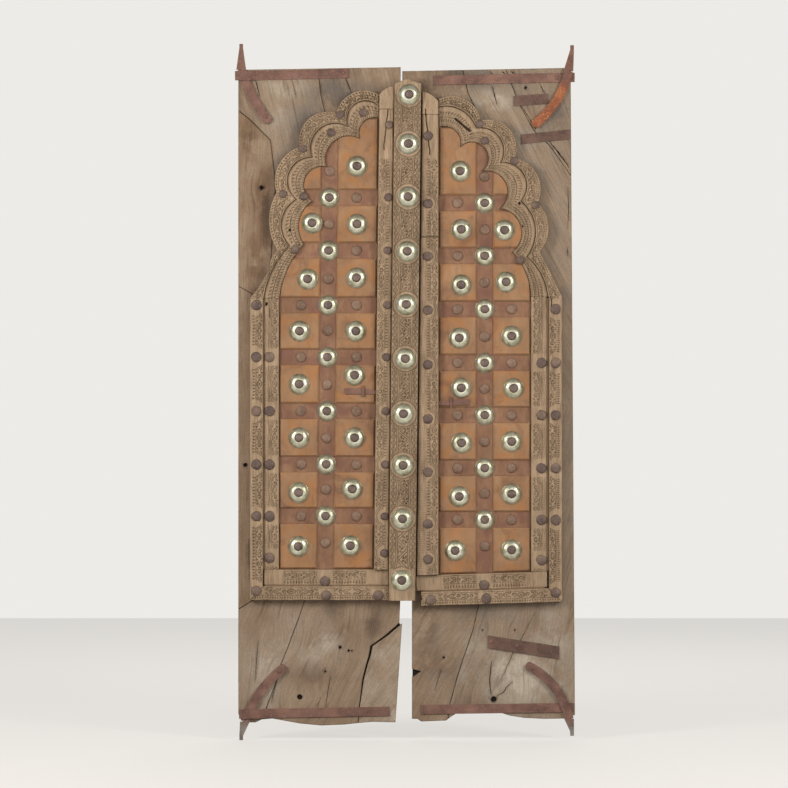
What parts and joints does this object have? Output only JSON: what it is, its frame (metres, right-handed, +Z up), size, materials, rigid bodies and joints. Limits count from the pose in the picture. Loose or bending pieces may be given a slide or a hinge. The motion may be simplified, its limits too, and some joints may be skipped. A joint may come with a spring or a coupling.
{
  "type": "carved wooden door leaves",
  "caption": "Pair of carved wooden leaves on iron pivots, with a lobed arch of mouldings round a studded field of battens and panels, closed by a mullion.",
  "frame": {"origin": "on the level of the lower pivots' tips, in the middle of the overall width and depth", "axes": "+Z up along the leaves, +X to the viewer's right seen from the carved front, -Y out of the carved front"},
  "size_m": [1.0217, 0.102, 2.091],
  "materials": {
    "board_wood": "weathered, unfinished",
    "carved_wood": "carved, dry and worn",
    "panel_wood": "worn orange stain",
    "batten_wood": "worn red-brown stain",
    "brass": "pale, worn bright",
    "dark_iron": "forged, dark brown rust",
    "rusted_iron": "forged, red-brown rust"
  },
  "bodies": {
    "left_leaf": {"left_batten_studs": "dark_iron", "left_boss_nails": "dark_iron", "left_bosses": "brass", "left_broken_corner": "board_wood", "left_cross_battens": "batten_wood", "left_field_panels": "panel_wood", "left_finial": "carved_wood", "left_foot_pivot": "rusted_iron", "left_foot_strap": "rusted_iron", "left_frame_studs": "dark_iron", "left_inner_arch": "carved_wood", "left_inner_board": "board_wood", "left_inner_rail": "carved_wood", "left_inner_stile_strip": "carved_wood", "left_iron_nails": "dark_iron", "left_latch_bar": "rusted_iron", "left_lower_stile_board": "board_wood", "left_meeting_strip": "carved_wood", "left_outer_arch": "carved_wood", "left_outer_board": "board_wood", "left_outer_rail": "carved_wood", "left_outer_stile_strip": "carved_wood", "left_top_pivot": "rusted_iron", "left_top_strap": "rusted_iron", "left_upper_stile_board": "board_wood", "left_upright_batten": "batten_wood", "mullion": "carved_wood", "mullion_boss_nails": "dark_iron", "mullion_bosses": "brass"},
    "right_leaf": {"right_batten_studs": "dark_iron", "right_boss_nails": "dark_iron", "right_bosses": "brass", "right_corner_board": "board_wood", "right_cross_battens": "batten_wood", "right_field_panels": "panel_wood", "right_finial": "carved_wood", "right_foot_pivot": "rusted_iron", "right_foot_strap": "rusted_iron", "right_frame_studs": "dark_iron", "right_inner_arch": "carved_wood", "right_inner_board": "board_wood", "right_inner_rail": "carved_wood", "right_inner_stile_strip": "carved_wood", "right_iron_nails": "dark_iron", "right_latch_bar": "rusted_iron", "right_lower_repair_strap": "rusted_iron", "right_meeting_strip": "carved_wood", "right_middle_repair_strap": "rusted_iron", "right_outer_arch": "carved_wood", "right_outer_board": "board_wood", "right_outer_rail": "carved_wood", "right_outer_stile_strip": "carved_wood", "right_top_pivot": "rusted_iron", "right_top_strap": "rusted_iron", "right_upper_repair_strap": "rusted_iron", "right_upright_batten": "batten_wood"}
  },
  "joints": [
    {"name": "right_leaf_swing", "type": "hinge", "parent": "left_leaf", "child": "right_leaf", "pos_m": [0.5015, 0.016, 0], "axis": [0, 0, -1], "range_deg": [0, 90]}
  ]
}
